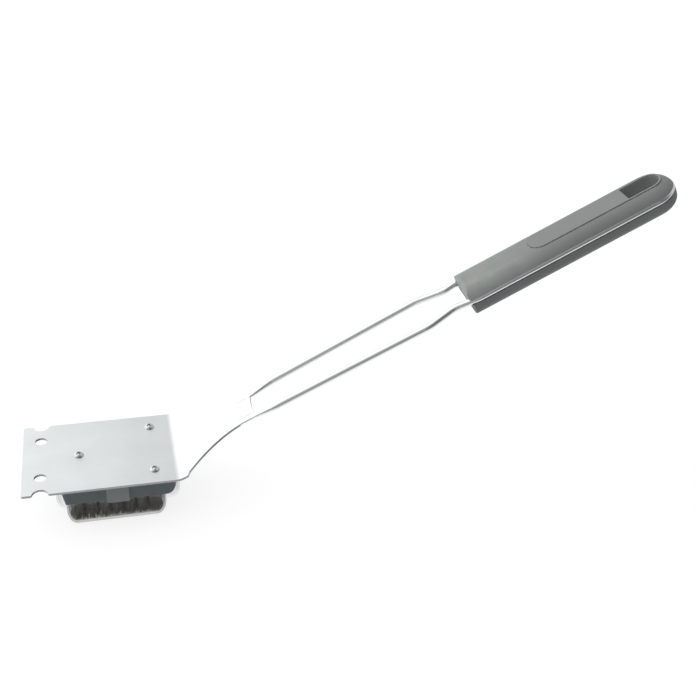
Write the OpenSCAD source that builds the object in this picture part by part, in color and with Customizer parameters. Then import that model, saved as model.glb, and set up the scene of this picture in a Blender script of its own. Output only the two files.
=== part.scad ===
// Grill cleaning brush: a bent stainless head plate on a wire frame, a two-shell handle
// clamped round the frame, a screwed-on brush block and a clear guard over the bristles.
//
// Frame: +Z up, +X from the head towards the handle, Y across. The origin lies under the
// middle of the brush, on the plane that the guard stands on. The head plate is level and
// the frame and handle rise from its back edge.

/* [Head plate] */
// Width of the head plate
plate_w = 76.5; // [72:0.5:84]
// Length of the level part, from the front edge to the bend
plate_l = 98.5; // [94:0.5:110]
// Sheet thickness
plate_t = 1.5; // [1.2:0.1:1.8]
// Height of the plate's underside above the ground
plate_under = 29.7; // [29.3:0.1:32]
// Angle between the head plate and the frame
bend_angle = 27; // [20:0.1:32]
// Radius of the round scraping holes
scraper_hole_r = 4; // [3:0.1:4.5]
// Distance between the scraping holes
scraper_hole_gap = 41; // [36:0.5:46]
// Distance from the front edge to the holes and side notches
scraper_inset = 11.6; // [10:0.1:14]
// Radius of the side notches
notch_r = 5; // [3:0.1:6]

/* [Frame] */
// Diameter of the frame wire
wire_d = 4.8; // [4.5:0.1:5]
// Half of the distance between the wires along the handle
wire_y = 15.2; // [15:0.1:15.8]

/* [Handle] */
// Distance from the bend to the front of the handle
handle_start = 216.5; // [214:0.5:218]
// Distance from the bend to the centre of the handle's round end
handle_round = 352.4; // [350:0.2:356]
// Half of the width of the handle
handle_half_w = 17.6; // [17.2:0.1:18]
// Height of the upper shell above the wire's centre plane
upper_h = 7.8; // [7.5:0.1:8.6]
// Depth of the lower shell below the wire's centre plane
lower_h = 11; // [10:0.1:12]
// Distance from the bend to the square end of the hanging slot
slot_start = 337.5; // [334:0.5:342]
// Half of the width of the hanging slot
slot_half_w = 7.4; // [6:0.1:7.6]

/* [Brush] */
// Length of the brush block at its top
block_l = 73.5; // [72:0.5:74]
// Half of the width of the brush block
block_half_w = 32; // [31.5:0.1:32.5]
// Thickness of the brush block
block_h = 13.4; // [13:0.1:14]
// Rows of tufts along the block
tuft_rows = 7; // [5:1:7]
// Tufts in each row
tufts_per_row = 7; // [4:1:7]
// Distance between rows
row_pitch = 8.1; // [8:0.05:8.2]
// Distance between tufts in a row
tuft_pitch = 8.3; // [8:0.05:8.4]

/* [Guard] */
// Wall thickness of the clear guard
guard_t = 1.1; // [1:0.1:1.2]

/* [Hidden] */
$fn = 64;
eps = 0.01;

// Head plate
front_x = -60;
plate_top = plate_under + plate_t;
plate_mid = plate_under + plate_t / 2;
bend_x = front_x + plate_l;
bend_r = 10;
bend_setback = (bend_r + plate_t / 2) * tan(bend_angle / 2);
front_corner_r = 1.5;
notch_lip_r = 1.2;
notch_sink = 0.3;

// Neck, measured from the bend along the frame
shoulder = 5.4;
neck_from = 7;
waist_s = 52;
waist_half_w = 14.3;
neck_spread = 98;
neck_steps = 20;
rail_gap_start = 58.5;
rail_gap_bulge = 0.8;
neck_lap = 0.3;
neck_skim = 0.02;

// Frame wire: corners of its centre line as [distance from the bend, half spacing]
wire_r = wire_d / 2;
wire_start = 47;
wire_start_y = 12;
wire_points = [
    [wire_start, wire_start_y], [58, wire_start_y], [73, 14.7], [186, 17.3],
    [205.5, 12.1], [222, wire_y], [handle_round, wire_y]
];
wire_bend_r = [0, 30, 30, 24, 14, 30, 0];
wire_flat_end = 57;
wire_flat_run_out = 84;
weld_gap = 0.02;
rail_gap_half_w = wire_start_y - wire_r - weld_gap;
joint_lap = 0.3;
joint_step = 0.06;

// Handle, as heights above the wire's centre plane
upper_round_r = 10.5;
lower_round_r = 6;
handle_corner_r = 4;
upper_front_r = 3.5;
lower_front_r = 5;
front_crease = 0.06;
shell_fit = 0.05;
side_gap = 1.7;
cavity_start = 227;
cavity_end = slot_start - 4.5;
cavity_half_w = 11;
upper_wall = 2.6;
lower_wall = 2.4;
boss_r = 4;
screw_places = [240, 322];
inlay_start = 267.7;
inlay_half_w = 8.9;
inlay_sink = 1;
inlay_rise = 0.55;
inlay_gap = 0.2;
slot_round = handle_round + 2.2;

// Handle screws
handle_screw_r = 1.5;
handle_screw_head_r = 2.9;
handle_screw_head_h = 2;
handle_screw_pilot_r = 1.45;

// Brush block, from the front edge of the plate
block_front = front_x + 22.7;
block_corner_r = 7;
block_bottom = plate_under - block_h;
block_chamfer = 3.2;
screw_front_x = front_x + 35.7;
screw_rear_x = front_x + 82.9;
screw_rear_y = 24.6;
head_screw_places = [[screw_front_x, 0], [screw_rear_x, screw_rear_y], [screw_rear_x, -screw_rear_y]];
head_screw_r = 1.75;
head_screw_l = 6;
head_screw_head_r = 3.4;
head_screw_head_h = 2.3;
recess_w = 0.9;
recess_l = 3.6;
recess_depth = 1.2;

// Tufts
field_x = front_x + 57.3;
tuft_hole_r = 2.2;
tuft_hole_depth = 6.5;
tuft_root_r = 2.15;
tuft_waist_r = 2.3;
tuft_tip_r = 3.1;
tuft_tip_z = 2.6;
anchor_w = 3.6;
anchor_t = 0.4;
anchor_h = 2.2;
anchor_up = 1.6;

// Guard: a wide tray round the block over a narrower cup round the bristles
tray_front = front_x + 20.4;
tray_back = front_x + 98.3;
tray_half_w = block_half_w + 0.8 + guard_t;
tray_top = plate_under - 0.6;
tray_bottom = block_bottom - 0.4 - guard_t;
tray_corner_r = 6;
cup_front = front_x + 25.7;
cup_back = front_x + 89.2;
cup_half_w = 30.6;
cup_corner_r = 7;
tab_w = 14;
tab_half_t = 0.45;
tab_x = front_x + 58.6;

function heading(a, b) = atan2(b[1] - a[1], b[0] - a[0]);
function row_x(row) = field_x + (row - (tuft_rows + 1) / 2) * row_pitch;
function tuft_y(tuft) = (tuft - (tufts_per_row + 1) / 2) * tuft_pitch;
function neck_half_w(s) = waist_half_w + pow(waist_s - s, 2) / neck_spread;

// Places its children in the frame's own axes: X along the wires from the bend, Z above
// the wires' centre plane.
module along_frame() {
    translate([bend_x, 0, plate_mid])
        rotate([0, -bend_angle, 0])
            children();
}

// Repeats its children on both sides.
module both_sides() {
    children();
    mirror([0, 1, 0]) children();
}

// A rectangle with rounded corners, from x0 to x1 and half_w to each side.
module round_box_2d(x0, x1, half_w, r) {
    for (x = [x0 + r, x1 - r])
        for (y = [r - half_w, half_w - r])
            translate([x, y]) circle(r);
    translate([x0 + r, -half_w]) square([x1 - x0 - 2 * r, 2 * half_w]);
    translate([x0, r - half_w]) square([x1 - x0, 2 * half_w - 2 * r]);
}

// ---- Head plate ----

// The void of one side notch: a round cut whose lips run out into the edge at y = 0.
module notch_2d() {
    lip_x = sqrt(pow(notch_r + notch_lip_r, 2) - pow(notch_lip_r - notch_sink, 2));
    touch = notch_r / (notch_r + notch_lip_r);
    touch_y = -notch_sink - (notch_lip_r - notch_sink) * touch;
    translate([0, -notch_sink]) circle(notch_r);
    difference() {
        polygon([
            [-lip_x, 1], [lip_x, 1], [lip_x, 0],
            [lip_x * touch, touch_y], [-lip_x * touch, touch_y], [-lip_x, 0]
        ]);
        for (x = [-lip_x, lip_x])
            translate([x, -notch_lip_r]) circle(notch_lip_r);
    }
}

module level_outline() {
    notch_x = front_x + scraper_inset;
    difference() {
        union() {
            round_box_2d(front_x, bend_x - bend_setback, plate_w / 2, front_corner_r);
            translate([bend_x - bend_setback - 5, -plate_w / 2]) square([5, plate_w]);
        }
        for (side = [-1, 1]) {
            translate([notch_x, side * scraper_hole_gap / 2]) circle(scraper_hole_r);
            translate([notch_x, side * plate_w / 2]) scale([1, side]) notch_2d();
        }
        for (place = head_screw_places)
            translate(place) circle(head_screw_r + 0.15);
    }
}

module neck_outline() {
    sweep = [
        for (i = [0:neck_steps])
            let (s = neck_from + (wire_start - neck_from) * i / neck_steps)
            [s, neck_half_w(s)]
    ];
    wide = plate_w / 2 - neck_skim;
    side = concat(
        [[bend_setback - neck_lap, wide], [shoulder, wide]],
        sweep,
        [[wire_start, rail_gap_half_w], [rail_gap_start, rail_gap_half_w]]
    );
    gap_r = (pow(rail_gap_half_w, 2) + pow(rail_gap_bulge, 2)) / (2 * rail_gap_bulge);
    difference() {
        for (m = [0, 1])
            mirror([0, m])
                polygon(concat([[bend_setback - neck_lap, 0]], side, [[rail_gap_start, 0]]));
        translate([rail_gap_start - rail_gap_bulge + gap_r, 0]) circle(gap_r, $fn = 256);
    }
}

// The neck is skimmed all round by a hair and laps into the bend, so that they fuse cleanly.
module head_plate() color("gainsboro") {
    translate([0, 0, plate_under])
        linear_extrude(plate_t) level_outline();
    translate([bend_x - bend_setback, 0, plate_top + bend_r])
        rotate([90, 0, 0]) rotate([0, 0, -90])
            rotate_extrude(angle = bend_angle)
                translate([bend_r, -plate_w / 2]) square([plate_t, plate_w]);
    along_frame()
        translate([0, 0, neck_skim - plate_t / 2])
            linear_extrude(plate_t - 2 * neck_skim) neck_outline();
}

// ---- Frame ----

// Length that the bend at corner i takes from each of its two straights.
function bend_tangent(i) =
    i == 0 || i == len(wire_points) - 1 ? 0 :
    wire_bend_r[i] * tan(abs(wire_turn(i)) / 2);
function wire_turn(i) =
    heading(wire_points[i], wire_points[i + 1]) - heading(wire_points[i - 1], wire_points[i]);

// One side of the wire, as straights and bends. The straights are a hair thinner and run
// a little way into the bends and the round end, so that all fuse.
module wire_side(r) {
    last = len(wire_points) - 1;
    for (i = [0:last - 1]) {
        a = wire_points[i];
        b = wire_points[i + 1];
        from = i == 0 ? 0 : bend_tangent(i) - joint_lap;
        to = norm(b - a) - bend_tangent(i + 1) + joint_lap;
        translate([a[0], a[1], 0]) rotate([0, 0, heading(a, b)])
            translate([from, 0, 0]) rotate([0, 90, 0])
                cylinder(h = to - from, r = r - joint_step);
    }
    for (i = [1:last - 1]) {
        turn = wire_turn(i);
        side = turn > 0 ? 1 : -1;
        translate([wire_points[i][0], wire_points[i][1], 0])
            rotate([0, 0, heading(wire_points[i - 1], wire_points[i])])
                translate([-bend_tangent(i), side * wire_bend_r[i], 0])
                    rotate([0, 0, turn > 0 ? -90 : 90 + turn])
                        rotate_extrude(angle = abs(turn))
                            translate([wire_bend_r[i], 0]) circle(r);
    }
}

// The whole loop: both sides and the round end inside the handle.
module wire_loop(r) {
    both_sides() wire_side(r);
    translate([handle_round, 0, 0]) rotate([0, 0, -90])
        rotate_extrude(angle = 180)
            translate([wire_y, 0]) circle(r);
}

// Wedge over the wire's forged end, which tapers from sheet thickness to full round.
module forging_cut() {
    rotate([90, 0, 0])
        linear_extrude(60, center = true)
            polygon([
                [wire_start - 1, plate_t / 2], [wire_flat_end, plate_t / 2],
                [wire_flat_run_out, wire_r + eps], [wire_flat_run_out, 5], [wire_start - 1, 5]
            ]);
}

module frame_loop() color("silver")
    along_frame()
        difference() {
            wire_loop(wire_r);
            forging_cut();
            mirror([0, 0, 1]) forging_cut();
        }

// ---- Handle ----

// Half of the handle's cross-section, with a flat crown and one round shoulder.
module half_section(height, r) {
    flat = handle_half_w - r * cos(asin(max(0, (r - height) / r)));
    intersection() {
        union() {
            translate([flat, height - r]) circle(r, $fn = 96);
            square([flat, height]);
            square([handle_half_w, max(eps, height - r)]);
        }
        square([handle_half_w + 1, height + 1]);
    }
}

// The space below a round front edge, which meets the crown at a slight crease.
module front_round(height, r) {
    length = handle_round + 2 * handle_half_w - handle_start;
    rotate([90, 0, 0])
        linear_extrude(2 * handle_half_w + 4, center = true) {
            translate([handle_start + r, height - r + front_crease]) circle(r);
            translate([handle_start, -1]) square([length, height - r + front_crease + 1]);
            translate([handle_start + r, -1]) square([length - r, height + 3]);
        }
}

// A solid handle half: the section run straight, then turned round the end. Its front
// edge has the radius front_r.
module handle_half(height, r, front_r) {
    intersection() {
        union() {
            translate([handle_start, 0, 0]) rotate([90, 0, 90])
                linear_extrude(handle_round - handle_start) {
                    half_section(height, r);
                    mirror([1, 0]) half_section(height, r);
                }
            translate([handle_round, 0, 0]) rotate([0, 0, -90])
                rotate_extrude(angle = 180) half_section(height, r);
        }
        linear_extrude(height + 1)
            round_box_2d(
                handle_start, handle_round + 2 * handle_half_w, handle_half_w + 1, handle_corner_r
            );
        front_round(height, front_r);
    }
}

// Outline of the hanging slot: a square end towards the head and a round far end.
module slot_outline(grow = 0) {
    translate([slot_round, 0]) circle(slot_half_w + grow);
    translate([slot_start - grow, -slot_half_w - grow])
        square([slot_round - slot_start + grow, 2 * (slot_half_w + grow)]);
}

module inlay_outline(grow = 0) {
    for (x = [inlay_start + inlay_half_w, slot_round])
        translate([x, 0]) circle(inlay_half_w + grow);
    translate([inlay_start + inlay_half_w, -inlay_half_w - grow])
        square([slot_round - inlay_start - inlay_half_w, 2 * (inlay_half_w + grow)]);
}

// What both shells lose: the wire's channel, the gap that shows the wire, and the slot.
module shell_cuts() {
    wire_loop(wire_r + shell_fit);
    translate([0, 0, -1]) linear_extrude(side_gap + 1)
        difference() {
            translate([handle_start - 1, -handle_half_w - 1])
                square([handle_round + 2 * handle_half_w - handle_start, 2 * handle_half_w + 2]);
            translate([handle_start - 1, -wire_y])
                square([handle_round - handle_start + 1, 2 * wire_y]);
            translate([handle_round, 0]) circle(wire_y);
        }
    translate([0, 0, -1]) linear_extrude(upper_h + lower_h) slot_outline();
}

module handle_cavity(height) {
    translate([cavity_start, -cavity_half_w, -1])
        cube([cavity_end - cavity_start, 2 * cavity_half_w, height + 1]);
}

module handle_upper_shell() color("darkgray")
    along_frame()
        difference() {
            union() {
                difference() {
                    handle_half(upper_h, upper_round_r, upper_front_r);
                    shell_cuts();
                    handle_cavity(upper_h - upper_wall);
                }
                for (x = screw_places)
                    translate([x, 0, 0]) cylinder(h = upper_h - upper_wall + eps, r = boss_r);
            }
            for (x = screw_places)
                translate([x, 0, -1]) cylinder(h = 5.5, r = handle_screw_pilot_r + 0.1);
            translate([0, 0, upper_h - inlay_sink]) linear_extrude(2) inlay_outline();
        }

module handle_lower_shell() color("dimgray")
    along_frame() mirror([0, 0, 1])
        difference() {
            union() {
                difference() {
                    handle_half(lower_h, lower_round_r, lower_front_r);
                    shell_cuts();
                    handle_cavity(lower_h - lower_wall);
                }
                for (x = screw_places)
                    translate([x, 0, 0]) cylinder(h = lower_h - lower_wall + eps, r = boss_r);
            }
            for (x = screw_places) {
                translate([x, 0, -1]) cylinder(h = lower_h + 2, r = handle_screw_r + 0.2);
                translate([x, 0, lower_h - handle_screw_head_h - 0.6])
                    cylinder(h = 4, r = handle_screw_head_r + 0.2);
            }
        }

module handle_inlay() color("gray")
    along_frame()
        translate([0, 0, upper_h - inlay_sink])
            linear_extrude(inlay_sink + inlay_rise)
                difference() {
                    inlay_outline(-inlay_gap);
                    slot_outline();
                }

// Two straight cuts that cross: the driver recess of a screw.
module cross_recess(depth) {
    for (turn = [0, 90])
        rotate([0, 0, turn])
            translate([-recess_l / 2, -recess_w / 2, -depth])
                cube([recess_l, recess_w, depth + 2]);
}

module handle_screw() {
    seat = -lower_h + 0.6;
    difference() {
        union() {
            translate([0, 0, seat]) cylinder(h = handle_screw_head_h, r = handle_screw_head_r);
            translate([0, 0, seat]) cylinder(h = lower_h - 0.6 + 4, r = handle_screw_pilot_r);
        }
        translate([0, 0, seat]) mirror([0, 0, 1]) cross_recess(recess_depth);
    }
}

module handle_screws() color("silver")
    along_frame()
        for (x = screw_places)
            translate([x, 0, 0]) handle_screw();

// ---- Brush ----

module block_profile() {
    back = block_front + block_l;
    bottom = -block_h;
    union() {
        polygon([
            [block_front, 0], [block_front + block_chamfer, bottom],
            [back - block_corner_r, bottom], [back - block_corner_r, 0]
        ]);
        translate([back - block_corner_r, bottom + block_corner_r]) circle(block_corner_r);
        translate([back - block_corner_r, bottom + block_corner_r])
            square([block_corner_r, block_h - block_corner_r]);
    }
}

module brush_block() color("darkslategray")
    difference() {
        intersection() {
            translate([0, 0, plate_under]) rotate([90, 0, 0])
                linear_extrude(2 * block_half_w, center = true) block_profile();
            translate([0, 0, block_bottom - 1])
                linear_extrude(block_h + 1)
                    round_box_2d(block_front, block_front + block_l, block_half_w, 5);
        }
        for (place = head_screw_places)
            translate([place[0], place[1], plate_under - head_screw_l - 0.2])
                cylinder(h = head_screw_l + 1, r = head_screw_r);
        for (row = [1:tuft_rows])
            for (tuft = [1:tufts_per_row])
                translate([row_x(row), tuft_y(tuft), block_bottom - 1])
                    cylinder(h = tuft_hole_depth + 1, r = tuft_hole_r);
    }

module head_screw() {
    dome_r = (pow(head_screw_head_r, 2) + pow(head_screw_head_h, 2)) / (2 * head_screw_head_h);
    difference() {
        union() {
            intersection() {
                translate([0, 0, head_screw_head_h - dome_r]) sphere(dome_r, $fn = 48);
                cylinder(h = head_screw_head_h + 1, r = head_screw_head_r + 1);
            }
            translate([0, 0, -plate_t - head_screw_l])
                cylinder(h = plate_t + head_screw_l + 0.2, r = head_screw_r - 0.03);
        }
        translate([0, 0, head_screw_head_h]) cross_recess(recess_depth);
    }
}

module head_screws() color("silver")
    for (place = head_screw_places)
        translate([place[0], place[1], plate_top]) rotate([0, 0, 35]) head_screw();

// One tuft: a straight root in the block, split round its anchor, and a flared brush.
module tuft() {
    root_top = block_bottom + tuft_hole_depth - 0.1;
    difference() {
        union() {
            translate([0, 0, block_bottom - 0.3])
                cylinder(h = root_top - block_bottom + 0.3, r = tuft_root_r);
            translate([0, 0, tuft_tip_z])
                cylinder(h = block_bottom - 0.3 - tuft_tip_z, r1 = tuft_tip_r, r2 = tuft_waist_r);
        }
        translate([-5, -anchor_t / 2, root_top - anchor_up - anchor_h])
            cube([10, anchor_t, anchor_h]);
    }
}

module bristle_row(row) color("slategray")
    for (tuft = [1:tufts_per_row])
        translate([row_x(row), tuft_y(tuft), 0]) tuft();

module anchor_row(row) color("goldenrod")
    for (tuft = [1:tufts_per_row])
        translate([
            row_x(row) - anchor_w / 2, tuft_y(tuft) - anchor_t / 2,
            block_bottom + tuft_hole_depth - 0.1 - anchor_up - anchor_h
        ])
            cube([anchor_w, anchor_t, anchor_h]);

// ---- Guard ----

// A bar along Y whose side view has round lower corners and a straight top.
module guard_side(x0, x1, z0, z1, r, half_w) {
    rotate([90, 0, 0])
        linear_extrude(2 * half_w, center = true) {
            translate([x0 + r, z0 + r]) circle(r);
            translate([x1 - r, z0 + r]) circle(r);
            translate([x0 + r, z0]) square([x1 - x0 - 2 * r, z1 - z0]);
            translate([x0, z0 + r]) square([x1 - x0, z1 - z0 - r]);
        }
}

// One box of the guard, solid, with round corners in side view and in plan.
module guard_box(x0, x1, z0, z1, r, half_w) {
    intersection() {
        guard_side(x0, x1, z0, z1, r, half_w);
        translate([0, 0, z0 - 1])
            linear_extrude(z1 - z0 + 2) round_box_2d(x0, x1, half_w, r - 1);
    }
}

module guard_solid(inset, top) {
    guard_box(
        tray_front + inset, tray_back - inset, tray_bottom + inset, top,
        tray_corner_r - inset, tray_half_w - inset
    );
    guard_box(
        cup_front + inset, cup_back - inset, inset, tray_bottom + 6,
        cup_corner_r - inset, cup_half_w - inset
    );
}

module bristle_guard() color([0.8, 0.9, 0.95, 0.5]) {
    difference() {
        guard_solid(0, tray_top);
        guard_solid(guard_t, tray_top + 5);
    }
    both_sides()
        translate([tab_x - tab_w / 2, tray_half_w - eps, tray_bottom + guard_t])
            cube([tab_w, tab_half_t, tray_top - tray_bottom - guard_t]);
}

head_plate();
frame_loop();
handle_upper_shell();
handle_lower_shell();
handle_inlay();
handle_screws();
brush_block();
head_screws();
bristle_guard();
for (row = [1:tuft_rows]) {
    bristle_row(row);
    anchor_row(row);
}
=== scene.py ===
"""Finishes, bristles, studio and camera for the grill cleaning brush.

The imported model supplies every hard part. This script gives each part its finish, puts
real wire tufts in place of the plain tuft solids, and sets up the studio.
"""

from __future__ import annotations

import logging
import math
import random
from dataclasses import dataclass, field
from enum import Enum

import bmesh
import bpy
from mathutils import Matrix, Vector


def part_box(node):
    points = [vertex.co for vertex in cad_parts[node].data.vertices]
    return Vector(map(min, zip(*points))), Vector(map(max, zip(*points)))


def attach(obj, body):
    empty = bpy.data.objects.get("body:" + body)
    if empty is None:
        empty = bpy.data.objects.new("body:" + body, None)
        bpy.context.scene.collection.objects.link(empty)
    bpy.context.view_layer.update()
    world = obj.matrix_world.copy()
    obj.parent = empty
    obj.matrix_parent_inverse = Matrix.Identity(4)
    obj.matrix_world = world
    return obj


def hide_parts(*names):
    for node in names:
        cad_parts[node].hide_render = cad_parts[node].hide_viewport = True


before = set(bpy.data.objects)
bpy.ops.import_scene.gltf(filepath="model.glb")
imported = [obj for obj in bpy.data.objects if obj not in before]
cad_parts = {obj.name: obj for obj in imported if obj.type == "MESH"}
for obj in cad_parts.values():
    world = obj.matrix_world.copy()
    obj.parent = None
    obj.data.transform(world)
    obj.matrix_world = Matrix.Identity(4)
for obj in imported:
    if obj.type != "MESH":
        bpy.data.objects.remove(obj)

Colour = tuple[float, float, float]
Triple = tuple[float, float, float]

MM = 0.001
MASK_EDGE = 0.1 * MM

log = logging.getLogger("grill_brush")


class Body(Enum):
    """The two bodies that the slide joint parts."""

    GUARD = "guard"
    BRUSH = "brush"


class Slot(Enum):
    """The record's material slots."""

    PLATE = "plate_steel"
    WIRE = "wire_steel"
    GRIP = "soft_grip"
    SHELL = "dark_shell"
    INLAY = "inlay_plastic"
    SCREW = "screw_steel"
    BLOCK = "block_plastic"
    BRISTLE = "bristle_wire"
    ANCHOR = "anchor_wire"
    CLEAR = "clear_plastic"


def tinted(colour: Colour, factor: float) -> Colour:
    """Lightens or darkens a colour.

    Args:
        colour: The colour.
        factor: Below 1 to darken, above 1 to lighten.

    Returns:
        The new colour, with no channel above 1.
    """
    return tuple(min(1.0, channel * factor) for channel in colour)


class Graph:
    """A material's node tree, with short calls that add nodes and join them."""

    def __init__(self, name: str) -> None:
        """Starts a material that holds one Principled shader.

        Args:
            name: The material's name.
        """
        self.material = bpy.data.materials.new(name)
        self.material.use_nodes = True
        self.tree = self.material.node_tree
        self.shader = self.tree.nodes["Principled BSDF"]

    def node(self, kind: str, **settings: object) -> bpy.types.Node:
        """Adds a node.

        Args:
            kind: The node's type name, without its ShaderNode prefix.
            **settings: Values for the node's own properties.

        Returns:
            The new node.
        """
        made = self.tree.nodes.new("ShaderNode" + kind)
        for key, value in settings.items():
            setattr(made, key, value)
        return made

    def join(self, source: bpy.types.NodeSocket, target: bpy.types.NodeSocket) -> None:
        """Links one socket to another."""
        self.tree.links.new(source, target)

    def drive(self, name: str, source: bpy.types.NodeSocket) -> None:
        """Links a socket to the shader's input of that name."""
        self.join(source, self.shader.inputs[name])

    def fix(self, **values: object) -> None:
        """Sets the shader's inputs to plain values.

        Args:
            **values: Input names, with an underscore for each space, and their values.
        """
        for key, value in values.items():
            self.shader.inputs[key.replace("_", " ")].default_value = value

    def place(self, stretch: Triple = (1.0, 1.0, 1.0), tilt: float = 0.0) -> bpy.types.NodeSocket:
        """Object coordinates, turned about Y and then stretched.

        Args:
            stretch: Scale along each axis.
            tilt: Turn about Y, in degrees.

        Returns:
            The vector socket.
        """
        coords = self.node("TexCoord")
        mapping = self.node("Mapping")
        mapping.inputs["Rotation"].default_value = (0.0, math.radians(tilt), 0.0)
        mapping.inputs["Scale"].default_value = stretch
        self.join(coords.outputs["Object"], mapping.inputs["Vector"])
        return mapping.outputs["Vector"]

    def noise(
        self, vector: bpy.types.NodeSocket, scale: float, detail: float = 2.0
    ) -> bpy.types.NodeSocket:
        """A noise pattern.

        Args:
            vector: Where to read it.
            scale: Repeats per metre.
            detail: Octaves.

        Returns:
            The pattern, from 0 to 1.
        """
        made = self.node("TexNoise")
        made.inputs["Scale"].default_value = scale
        made.inputs["Detail"].default_value = detail
        self.join(vector, made.inputs["Vector"])
        return made.outputs["Fac"]

    def span(
        self, source: bpy.types.NodeSocket, low: float, high: float,
        start: float = 0.3, end: float = 0.7
    ) -> bpy.types.NodeSocket:
        """Maps the part of a pattern between start and end to low and high.

        Args:
            source: The pattern.
            low: The value at start and below it.
            high: The value at end and above it.
            start: Where the change begins.
            end: Where the change ends.

        Returns:
            The mapped value.
        """
        made = self.node("MapRange")
        for key, value in zip(
            ("From Min", "From Max", "To Min", "To Max"), (start, end, low, high), strict=True
        ):
            made.inputs[key].default_value = value
        self.join(source, made.inputs["Value"])
        return made.outputs["Result"]

    def blend(
        self,
        factor: bpy.types.NodeSocket,
        first: Colour | bpy.types.NodeSocket,
        second: Colour | bpy.types.NodeSocket,
    ) -> bpy.types.NodeSocket:
        """Mixes two colours.

        Args:
            factor: 0 for the first, 1 for the second.
            first: A colour or a colour socket.
            second: A colour or a colour socket.

        Returns:
            The mixed colour.
        """
        made = self.node("Mix", data_type="RGBA")
        self.join(factor, made.inputs[0])
        for index, colour in ((6, first), (7, second)):
            if isinstance(colour, tuple):
                made.inputs[index].default_value = (*colour, 1.0)
            else:
                self.join(colour, made.inputs[index])
        return made.outputs[2]

    def part(self, vector: bpy.types.NodeSocket, axis: str) -> bpy.types.NodeSocket:
        """Takes one axis of a vector.

        Args:
            vector: The vector.
            axis: The axis's letter.

        Returns:
            The vector's part along that axis.
        """
        split = self.node("SeparateXYZ")
        self.join(vector, split.inputs[0])
        return split.outputs[axis]

    def size(self, value: bpy.types.NodeSocket) -> bpy.types.NodeSocket:
        """Takes the sign off a value.

        Args:
            value: The value.

        Returns:
            The value without its sign.
        """
        made = self.node("Math", operation="ABSOLUTE")
        self.join(value, made.inputs[0])
        return made.outputs[0]

    def along(self, axis: str, start: float, end: float) -> bpy.types.NodeSocket:
        """How far a point lies along the row frame's axis.

        Args:
            axis: The axis's letter.
            start: Where the result is 0, in metres.
            end: Where the result is 1, in metres.

        Returns:
            The value, from 0 to 1.
        """
        return self.span(self.part(self.place(), axis), 0.0, 1.0, start=start, end=end)

    def beside(self, axis: str, distance: float) -> bpy.types.NodeSocket:
        """A mask that is 1 on both sides beyond a distance from the middle.

        Args:
            axis: The axis's letter.
            distance: Where the mask starts, in metres.

        Returns:
            The mask.
        """
        size = self.size(self.part(self.place(), axis))
        return self.span(size, 0.0, 1.0, start=distance, end=distance + MASK_EDGE)

    def sum(
        self, first: bpy.types.NodeSocket, second: bpy.types.NodeSocket, share: float
    ) -> bpy.types.NodeSocket:
        """Adds a share of one value to another.

        Args:
            first: The value that is kept whole.
            second: The value that is scaled.
            share: The scale.

        Returns:
            First plus share times second.
        """
        made = self.node("Math", operation="MULTIPLY_ADD")
        made.inputs[1].default_value = share
        self.join(second, made.inputs[0])
        self.join(first, made.inputs[2])
        return made.outputs[0]

    def rounded_normal(self, radius: float) -> bpy.types.NodeSocket:
        """The surface direction with edges rounded off.

        Args:
            radius: Radius of the rounding, in metres.

        Returns:
            The normal socket.
        """
        made = self.node("Bevel", samples=4)
        made.inputs["Radius"].default_value = radius
        return made.outputs["Normal"]

    def upright(self) -> bpy.types.NodeSocket:
        """A mask that is 1 on upright faces and 0 on level and sloping ones.

        Returns:
            The mask.
        """
        rise = self.size(self.part(self.node("NewGeometry").outputs["Normal"], "Z"))
        return self.span(rise, 1.0, 0.0, start=0.2, end=0.35)

    def hollows(self, reach: float) -> bpy.types.NodeSocket:
        """A mask that is 1 deep in slots and corners and 0 on open faces.

        Args:
            reach: How wide a slot still counts, in metres.

        Returns:
            The mask.
        """
        made = self.node("AmbientOcclusion", samples=6)
        made.inputs["Distance"].default_value = reach
        return self.span(made.outputs["AO"], 1.0, 0.0, start=0.35, end=0.95)

    def edges(self, rounded: bpy.types.NodeSocket) -> bpy.types.NodeSocket:
        """A mask that is 1 on worn edges and 0 on open faces.

        Args:
            rounded: The output of rounded_normal.

        Returns:
            The mask.
        """
        surface = self.node("NewGeometry")
        dot = self.node("VectorMath", operation="DOT_PRODUCT")
        self.join(surface.outputs["Normal"], dot.inputs[0])
        self.join(rounded, dot.inputs[1])
        return self.span(dot.outputs["Value"], 1.0, 0.0, start=0.86, end=0.995)

    def bump(
        self, height: bpy.types.NodeSocket, depth: float, normal: bpy.types.NodeSocket | None = None
    ) -> None:
        """Drives the shader's normal with a height pattern.

        Args:
            height: The pattern.
            depth: Height of the pattern, in metres.
            normal: The surface direction to start from.
        """
        made = self.node("Bump")
        made.inputs["Strength"].default_value = 1.0
        made.inputs["Distance"].default_value = depth
        self.join(height, made.inputs["Height"])
        if normal is not None:
            self.join(normal, made.inputs["Normal"])
        self.drive("Normal", made.outputs["Normal"])


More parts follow.
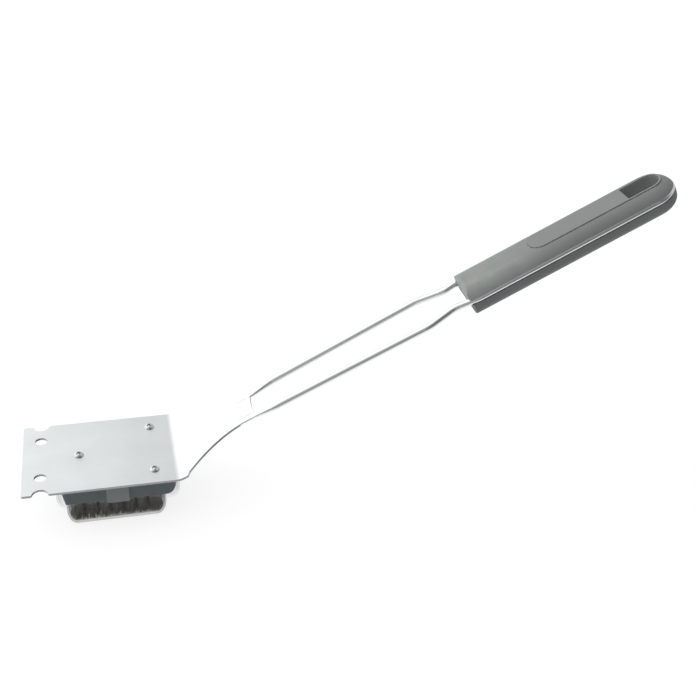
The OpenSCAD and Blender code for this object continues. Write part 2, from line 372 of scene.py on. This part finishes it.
@dataclass(frozen=True)
class SteelFinish:
    """Rolled or drawn stainless steel with a fine grain and brighter worn edges.

    Painted shade darkens slots and corners, and sheared darkens the cut edges of a sheet.
    """

    name: str
    colour: Colour
    roughness: float
    grain: Triple = (60.0, 2600.0, 2600.0)
    tilt: float = 0.0
    grain_depth: float = 0.0016 * MM
    edge_radius: float = 0.3 * MM
    edge_light: float = 1.1
    hollow_shade: float = 0.0
    hollow_shade_reach: float = 1.2 * MM
    sheared: float = 0.0
    clouds: float = 38.0
    cloud_dulling: float = 0.93
    cloud_roughness: float = 0.05

    def material(self) -> bpy.types.Material:
        """Makes the material.

        Returns:
            The new material.
        """
        g = Graph(self.name)
        grain = g.noise(g.place(self.grain, self.tilt), 1.0, 3.0)
        cloud = g.noise(g.place(), self.clouds, 3.0)
        rounded = g.rounded_normal(self.edge_radius)
        dull = tinted(self.colour, self.cloud_dulling)
        body = g.blend(g.span(cloud, 0.0, 1.0), self.colour, dull)
        clean = g.blend(g.edges(rounded), body, tinted(self.colour, self.edge_light))
        # Painted shade: an occlusion mask darkens slots and corners, such as the screws' recesses,
        # over the worn edges.
        hollow_shade_colour = tinted(self.colour, 1.0 - self.hollow_shade)
        worn = g.blend(g.hollows(self.hollow_shade_reach), clean, hollow_shade_colour)
        cut = tinted(self.colour, 1.0 - self.sheared)
        g.drive("Base Color", g.blend(g.upright(), worn, cut))
        rough = g.span(grain, self.roughness - 0.03, self.roughness + 0.05)
        g.drive("Roughness", g.sum(rough, cloud, self.cloud_roughness))
        g.bump(grain, self.grain_depth, rounded)
        g.fix(Metallic=1.0)
        return g.material


@dataclass(frozen=True)
class PlasticFinish:
    """Moulded plastic with a fine spark-eroded texture and slightly lighter edges.

    A falloff below 1 paints shade along the tool, darkening the grip towards its far end where less
    light falls.
    """

    name: str
    colour: Colour
    roughness: float
    texture: float = 2600.0
    texture_depth: float = 0.03 * MM
    edge_radius: float = 0.4 * MM
    edge_light: float = 1.35
    light_falloff: float = 1.0
    light_falloff_from: float = 0.235
    light_falloff_to: float = 0.3
    mottles: float = 70.0
    mottle_shade: float = 0.9
    mottle_roughness: float = 0.05

    def material(self) -> bpy.types.Material:
        """Makes the material.

        Returns:
            The new material.
        """
        g = Graph(self.name)
        texture = g.noise(g.place(), self.texture, 2.0)
        mottle = g.noise(g.place(), self.mottles, 3.0)
        rounded = g.rounded_normal(self.edge_radius)
        # Painted shade: the grip darkens along the tool towards its far end.
        far_end_shade = tinted(self.colour, self.light_falloff)
        painted_falloff = g.blend(g.along("X", self.light_falloff_from, self.light_falloff_to), self.colour, far_end_shade)
        body = g.blend(g.span(mottle, 0.0, 0.5), painted_falloff, tinted(far_end_shade, self.mottle_shade))
        worn = tinted(self.colour, self.edge_light)
        g.drive("Base Color", g.blend(g.edges(rounded), body, worn))
        rough = g.span(texture, self.roughness - 0.05, self.roughness + 0.05)
        g.drive("Roughness", g.sum(rough, mottle, self.mottle_roughness))
        g.bump(texture, self.texture_depth, rounded)
        g.fix(Specular_IOR_Level=0.4)
        return g.material


@dataclass(frozen=True)
class ClearFinish:
    """Clear moulded plastic, hazier edge-on and on its grip tabs, with painted shade that makes it
    darker and less clear low down.
    """

    name: str
    colour: Colour
    haze: float
    edge_haze: float
    tab_haze: float
    tab_from: float = 34.05 * MM
    low_shade: Colour = (0.1, 0.1, 0.088)
    low_shade_haze: float = 0.2
    low_shade_top: float = 14.5 * MM
    low_shade_blend: float = 1.5 * MM
    flows: float = 160.0
    flow_depth: float = 0.12 * MM
    edge_radius: float = 0.4 * MM

    def material(self) -> bpy.types.Material:
        """Makes the material.

        Returns:
            The new material.
        """
        g = Graph(self.name)
        flow = g.noise(g.place((1.0, 1.0, 0.4)), self.flows, 3.0)
        rim = g.node("LayerWeight")
        rim.inputs["Blend"].default_value = 0.35
        clean = g.blend(flow, self.colour, tinted(self.colour, 0.92))
        # Painted shade: the guard turns darker and less clear towards its floor.
        low_shade_mask = g.along("Z", self.low_shade_top, self.low_shade_top - self.low_shade_blend)
        g.drive("Base Color", g.blend(low_shade_mask, clean, self.low_shade))
        g.drive("Roughness", g.span(flow, 0.1, 0.24))
        haze = g.span(rim.outputs["Facing"], self.haze, self.edge_haze, start=0.1, end=0.9)
        haze = g.sum(haze, g.beside("Y", self.tab_from), self.tab_haze)
        haze = g.sum(haze, low_shade_mask, self.low_shade_haze)
        g.drive("Alpha", g.sum(haze, flow, 0.02))
        g.bump(flow, self.flow_depth, g.rounded_normal(self.edge_radius))
        return g.material


@dataclass(frozen=True)
class WireFinish:
    """Fine steel bristle wire with painted shade that darkens it towards the tips: no two wires are
    quite the same shade.
    """

    name: str
    colour: Colour
    dark: Colour
    roughness: float
    patches: float = 120.0
    tip_shade: float = 0.35
    tip_shade_from: float = 15.0 * MM
    tip_shade_to: float = 2.0 * MM
    strand_depth: float = 0.03 * MM

    def material(self) -> bpy.types.Material:
        """Makes the material.

        Returns:
            The new material.
        """
        g = Graph(self.name)
        strands = g.noise(g.place((1400.0, 1400.0, 60.0)), 1.0, 1.0)
        patch = g.noise(g.place(), self.patches, 2.0)
        body = g.blend(g.span(strands, 0.0, 1.0), self.colour, self.dark)
        mixed = g.blend(g.span(patch, 0.0, 0.5), body, self.dark)
        # Painted shade: the wires darken towards their tips, low in the guard.
        shaded_tips = tinted(self.dark, self.tip_shade)
        g.drive("Base Color", g.blend(g.along("Z", self.tip_shade_from, self.tip_shade_to), mixed, shaded_tips))
        g.drive("Roughness", g.span(strands, self.roughness - 0.08, self.roughness + 0.08))
        g.bump(strands, self.strand_depth)
        g.fix(Metallic=0.85)
        return g.material


PLATE_STEEL = SteelFinish(
    "rolled_plate", (0.85, 0.878, 0.882), 0.3, grain=(1800.0, 40.0, 1800.0), sheared=0.5
)
WIRE_STEEL = SteelFinish("drawn_wire", (0.86, 0.87, 0.88), 0.12, tilt=27.0)
# The screws get strong painted shade in their recesses.
SCREW_STEEL = SteelFinish(
    "turned_screw", (0.72, 0.73, 0.74), 0.14, grain=(900.0, 900.0, 900.0), edge_light=1.0, hollow_shade=0.85
)
# The grip's colour carries painted shade towards its far end.
GRIP_PLASTIC = PlasticFinish("soft_grip", (0.4, 0.425, 0.41), 0.55, light_falloff=0.68)
SHELL_PLASTIC = PlasticFinish("charcoal_shell", (0.21, 0.228, 0.225), 0.5)
INLAY_PLASTIC = PlasticFinish("plain_inlay", (0.29, 0.308, 0.298), 0.5, edge_light=1.1)
BLOCK_PLASTIC = PlasticFinish("slate_block", (0.15, 0.18, 0.188), 0.42)
CLEAR_PLASTIC = ClearFinish("clear_guard", (0.6, 0.63, 0.62), 0.01, 0.25, 0.38)
BRISTLE_STEEL = WireFinish("bristle_steel", (0.84, 0.8, 0.72), (0.5, 0.475, 0.42), 0.4)
ANCHOR_BRASS = WireFinish("anchor_brass", (0.72, 0.56, 0.3), (0.5, 0.38, 0.18), 0.34)


def dress(node: str, material: bpy.types.Material) -> None:
    """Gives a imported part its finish.

    Args:
        node: The part's name.
        material: The finish.
    """
    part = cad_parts[node]
    part.data.materials.clear()
    part.data.materials.append(material)
    log.info("dressed %s in %s", node, material.name)


def finish_piece(
    name: str,
    bm: bmesh.types.BMesh,
    material: bpy.types.Material,
    body: Body,
    stands_for: tuple[str, ...] = (),
) -> bpy.types.Object:
    """Turns a bmesh into a finished piece of the object.

    Args:
        name: The piece's name.
        bm: The mesh, in metres, in the row frame. It is freed here.
        material: The piece's finish.
        body: The body it rides on.
        stands_for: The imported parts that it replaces.

    Returns:
        The new object.
    """
    mesh = bpy.data.meshes.new(name)
    bm.to_mesh(mesh)
    bm.free()
    mesh.materials.append(material)
    piece = bpy.data.objects.new(name, mesh)
    bpy.context.scene.collection.objects.link(piece)
    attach(piece, body.value)
    if stands_for:
        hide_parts(*stands_for)
    log.info("built %s: %d faces", name, len(mesh.polygons))
    return piece


@dataclass
class ScraperHead:
    """The bent plate, the wire frame welded to it and the plate's screws."""

    finishes: dict[str, SteelFinish] = field(
        default_factory=lambda: {
            "head_plate": PLATE_STEEL,
            "frame_loop": WIRE_STEEL,
            "head_screws": SCREW_STEEL,
        }
    )

    def build(self) -> None:
        """Dresses the steel parts."""
        for node, finish in self.finishes.items():
            dress(node, finish.material())


@dataclass
class Handle:
    """The two shells, the blank inlay and the shells' screws."""

    finishes: dict[str, PlasticFinish] = field(
        default_factory=lambda: {
            "handle_upper_shell": GRIP_PLASTIC,
            "handle_lower_shell": SHELL_PLASTIC,
            "handle_inlay": INLAY_PLASTIC,
        }
    )

    def build(self) -> None:
        """Dresses the plastic parts and the screws."""
        for node, finish in self.finishes.items():
            dress(node, finish.material())
        dress("handle_screws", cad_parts["head_screws"].data.materials[0])


@dataclass
class BristleField:
    """Rows of wire tufts, each a bundle of fine wires that flares towards its tips.

    The tips fill the guard down to its floor and follow the round corners at its ends.
    """

    rings: int = 6
    sides: int = 5
    tufts: int = 7
    wire_r: float = 0.18 * MM
    root_r: float = 1.85 * MM
    tip_r: float = 5.2 * MM
    tip_z: float = 1.35 * MM
    cup_ends: tuple[float, float] = (-33.2 * MM, 28.1 * MM)
    cup_corner_r: float = 5.9 * MM
    cup_half_w: float = 29.3 * MM
    reach_in: float = 3.0 * MM
    straight: float = 0.3 * MM
    jitter: float = 0.16 * MM
    seed: int = 41

    def wire(self, bm: bmesh.types.BMesh, root: Vector, bend: Vector, tip: Vector) -> None:
        """Adds one wire from its tip through its bend to its root.

        Args:
            bm: The mesh to add to.
            root: The end inside the block.
            bend: Where the wire starts to flare.
            tip: The free end.
        """
        ends = bmesh.ops.create_circle(
            bm, cap_ends=True, segments=self.sides, radius=self.wire_r,
            matrix=Matrix.Translation(tip)
        )["verts"]
        cap = ends[0].link_faces[0]
        cap.normal_flip()
        for start, stop in ((tip, bend), (bend, root)):
            grown = bmesh.ops.extrude_face_region(bm, geom=[cap], use_keep_orig=start is tip)
            ring = [v for v in grown["geom"] if isinstance(v, bmesh.types.BMVert)]
            bmesh.ops.translate(bm, verts=ring, vec=stop - start)
            cap = next(f for f in grown["geom"] if isinstance(f, bmesh.types.BMFace))

    def places(self) -> list[tuple[float, float]]:
        """Places of a tuft's wires, in rings.

        Returns:
            For each wire, its distance from the middle (0 to 1) and its angle.
        """
        spots = [(0.0, 0.0)]
        for ring in range(1, self.rings + 1):
            count = 6 * ring
            spots += [(ring / self.rings, math.tau * step / count) for step in range(count)]
        return spots

    def pattern(self, length: float) -> bpy.types.Mesh:
        """Builds the tuft that all rows repeat, with the middle of its tips at the origin.

        Args:
            length: From the tips to the block's face.

        Returns:
            The tuft's mesh.
        """
        dice = random.Random(self.seed)
        bm = bmesh.new()
        for out, angle in self.places():
            way = Vector((math.cos(angle), math.sin(angle), 0.0))
            shake = Vector((dice.gauss(0, 1), dice.gauss(0, 1), dice.gauss(0, 1))) * self.jitter
            root = way * out * self.root_r
            root.z = length + self.reach_in
            bend = root.copy()
            bend.z = length - self.straight
            tip = way * out * self.tip_r + shake
            tip.z = abs(shake.z)
            self.wire(bm, root, bend, tip)
        mesh = bpy.data.meshes.new("tuft_pattern")
        bm.to_mesh(mesh)
        bm.free()
        return mesh

    def row(
        self, pattern: bpy.types.Mesh, middles: list[Vector], dice: random.Random
    ) -> bmesh.types.BMesh:
        """Repeats the tuft along one row, each time turned a different way.

        Args:
            pattern: The tuft's mesh.
            middles: The middle of each tuft's tips.
            dice: The source of the turns.

        Returns:
            The row's mesh.
        """
        bm = bmesh.new()
        for middle in middles:
            first = len(bm.verts)
            bm.from_mesh(pattern)
            bm.verts.ensure_lookup_table()
            fresh = bm.verts[first:]
            turn = Matrix.Rotation(dice.uniform(0.0, math.tau), 3, "Z")
            bmesh.ops.rotate(bm, verts=fresh, cent=(0.0, 0.0, 0.0), matrix=turn)
            bmesh.ops.translate(bm, verts=fresh, vec=middle)
        for vert in bm.verts:
            vert.co.y = max(-self.cup_half_w, min(self.cup_half_w, vert.co.y))
            vert.co.z = max(vert.co.z, self.lowest(vert.co.x))
        return bm

    def lowest(self, x: float) -> float:
        """Height to which the tips may reach inside the guard's round ends.

        Args:
            x: Place along the head.

        Returns:
            The lowest height for a tip there.
        """
        front, back = self.cup_ends
        r = self.cup_corner_r
        past = min(r, max(0.0, front + r - x, x - (back - r)))
        return self.tip_z + r - math.sqrt(r * r - past * past)

    def build(self) -> None:
        """Builds every row in place of its plain solids."""
        material = BRISTLE_STEEL.material()
        brass = ANCHOR_BRASS.material()
        rows = sorted(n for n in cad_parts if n.startswith("bristle_row_"))
        pattern = self.pattern(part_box("brush_block")[0].z - self.tip_z)
        for number, node in enumerate(rows):
            low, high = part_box(node)
            edge = (high.x - low.x) / 2
            step = (high.y - low.y - 2 * edge) / (self.tufts - 1)
            middles = [
                Vector((low.x + edge, low.y + edge + tuft * step, self.tip_z))
                for tuft in range(self.tufts)
            ]
            bm = self.row(pattern, middles, random.Random(self.seed + number))
            finish_piece(f"tufts_{node}", bm, material, Body.BRUSH, (node,))
            dress(node.replace("bristle", "anchor"), brass)
        bpy.data.meshes.remove(pattern)


@dataclass
class BrushHead:
    """The block and its bristles."""

    bristles: BristleField = field(default_factory=BristleField)

    def build(self) -> None:
        """Dresses the block and builds the bristles."""
        dress("brush_block", BLOCK_PLASTIC.material())
        self.bristles.build()


@dataclass
class Guard:
    """The clear guard that stands on the ground."""

    def build(self) -> None:
        """Dresses the guard."""
        dress("bristle_guard", CLEAR_PLASTIC.material())


@dataclass
class Studio:
    """A wide pale floor, lit evenly from within, under a soft sky.

    The sky is brightest at the back left and falls off towards the viewer. Straight below
    it is pale again, as a floor is.
    """

    floor_half: float = 12.0
    floor_colour: Colour = (0.3, 0.3, 0.3)
    floor_glow: float = 0.8
    left_sky: float = 1.3
    right_sky: float = 0.62
    under_sky: float = 0.85
    front_sky: float = 0.3
    nadir: float = 1.0
    below_edge: float = 0.15

    def floor(self) -> None:
        """Lays the floor."""
        bm = bmesh.new()
        bmesh.ops.create_grid(bm, x_segments=1, y_segments=1, size=self.floor_half)
        mesh = bpy.data.meshes.new("floor")
        bm.to_mesh(mesh)
        bm.free()
        g = Graph("floor_paper")
        fibres = g.noise(g.place(), 700.0, 3.0)
        g.drive("Base Color", g.blend(fibres, self.floor_colour, tinted(self.floor_colour, 0.985)))
        g.fix(Roughness=0.9, Emission_Color=(1.0, 1.0, 1.0, 1.0), Emission_Strength=self.floor_glow)
        mesh.materials.append(g.material)
        floor = bpy.data.objects.new("floor", mesh)
        bpy.context.scene.collection.objects.link(floor)
        floor.visible_glossy = False
        floor.visible_diffuse = False

    def sky(self) -> None:
        """Lights the studio with a sky that falls off to the right, in front and below."""
        world = bpy.data.worlds.new("soft_sky")
        world.use_nodes = True
        bpy.context.scene.world = world
        tree = world.node_tree
        coords = tree.nodes.new("ShaderNodeTexCoord")
        split = tree.nodes.new("ShaderNodeSeparateXYZ")
        tree.links.new(coords.outputs["Generated"], split.inputs[0])
        across = self.ramp(tree, split.outputs["X"], (-0.25, 0.12), (self.left_sky, self.right_sky))
        upward = self.ramp(tree, split.outputs["Z"], (-0.08, 0.06), (self.under_sky, 1.0))
        depth = self.ramp(tree, split.outputs["Y"], (-0.75, 0.05), (self.front_sky, 1.0))
        below = self.ramp(tree, split.outputs["Z"], (-0.85, -0.05), (self.nadir, self.below_edge))
        strength = across
        for operation, factor in (("MULTIPLY", upward), ("MULTIPLY", depth), ("MAXIMUM", below)):
            step = tree.nodes.new("ShaderNodeMath")
            step.operation = operation
            tree.links.new(strength, step.inputs[0])
            tree.links.new(factor, step.inputs[1])
            strength = step.outputs[0]
        tree.links.new(strength, tree.nodes["Background"].inputs["Strength"])
        tree.nodes["Background"].inputs["Color"].default_value = (1.0, 1.0, 1.0, 1.0)

    @staticmethod
    def ramp(
        tree: bpy.types.NodeTree,
        source: bpy.types.NodeSocket,
        limits: tuple[float, float],
        values: tuple[float, float],
    ) -> bpy.types.NodeSocket:
        """A smooth step between two values.

        Args:
            tree: The node tree to add to.
            source: The value that is stepped.
            limits: Where the step begins and ends.
            values: The values before and after it.

        Returns:
            The stepped value.
        """
        made = tree.nodes.new("ShaderNodeMapRange")
        made.interpolation_type = "SMOOTHSTEP"
        for key, value in zip(
            ("From Min", "From Max", "To Min", "To Max"), (*limits, *values), strict=True
        ):
            made.inputs[key].default_value = value
        tree.links.new(source, made.inputs["Value"])
        return made.outputs["Result"]

    def build(self) -> None:
        """Makes the floor and the light."""
        self.floor()
        self.sky()
        bpy.context.scene.view_settings.view_transform = "Standard"


@dataclass
class Viewpoint:
    """The camera: where it stands and how it is aimed, in degrees."""

    place: Triple = (0.0065, -0.6063, 0.4541)
    heading: float = 13.73
    pitch: float = -29.97
    roll: float = 1.81
    lens_mm: float = 56.55

    def build(self) -> None:
        """Makes the camera."""
        data = bpy.data.cameras.new("camera")
        data.lens = self.lens_mm
        data.sensor_width = 36.0
        camera = bpy.data.objects.new("camera", data)
        bpy.context.scene.collection.objects.link(camera)
        camera.matrix_world = (
            Matrix.Translation(self.place)
            @ Matrix.Rotation(math.radians(-self.heading), 4, "Z")
            @ Matrix.Rotation(math.radians(90.0 + self.pitch), 4, "X")
            @ Matrix.Rotation(math.radians(self.roll), 4, "Z")
        )
        bpy.context.scene.camera = camera


def main() -> None:
    """Builds the whole scene."""
    logging.basicConfig(level=logging.INFO, format="%(name)s: %(message)s")
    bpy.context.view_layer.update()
    for assembly in (Viewpoint(), ScraperHead(), Handle(), BrushHead(), Guard(), Studio()):
        assembly.build()
        log.info("finished %s", type(assembly).__name__)


if __name__ == "__main__":
    main()
